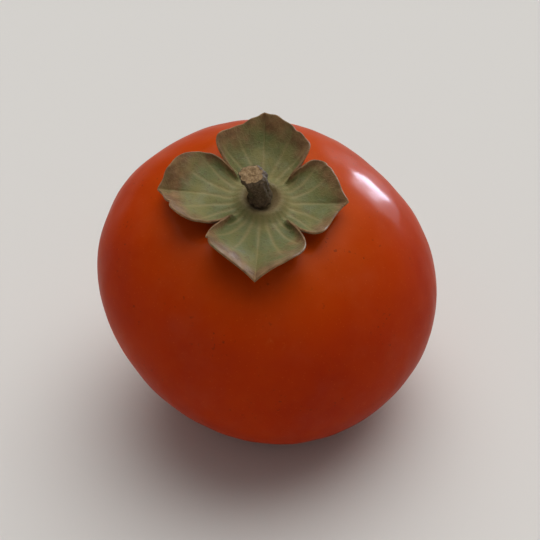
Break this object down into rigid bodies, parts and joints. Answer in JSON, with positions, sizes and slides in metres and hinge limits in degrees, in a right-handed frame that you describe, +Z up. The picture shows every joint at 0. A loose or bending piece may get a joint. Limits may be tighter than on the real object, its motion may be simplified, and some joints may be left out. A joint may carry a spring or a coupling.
{
  "type": "persimmon",
  "caption": "Ripe orange-red kaki persimmon, whole: a slightly flattened globe with a drying lobed calyx and a short stem stub.",
  "frame": {"origin": "middle of the small flat spot that the fruit rests on", "axes": "+Z up from the resting surface; the stem end leans 16 degrees from +Z towards -Y and a little -X, and the shoulders fall towards +X"},
  "size_m": [0.0812, 0.0801, 0.0749],
  "materials": {
    "skin": "smooth waxy fruit skin, deep orange-red, soft gloss with a faint bloom",
    "calyx": "leathery drying sepal, olive green turning brown at the margins",
    "stem_wood": "rough grey-brown bark with a paler cut end",
    "dry_style": "dry and dark"
  },
  "bodies": {
    "root": {"fruit": "skin", "calyx": "calyx", "stem": "stem_wood", "stigma_tip": "dry_style"}
  },
  "joints": []
}
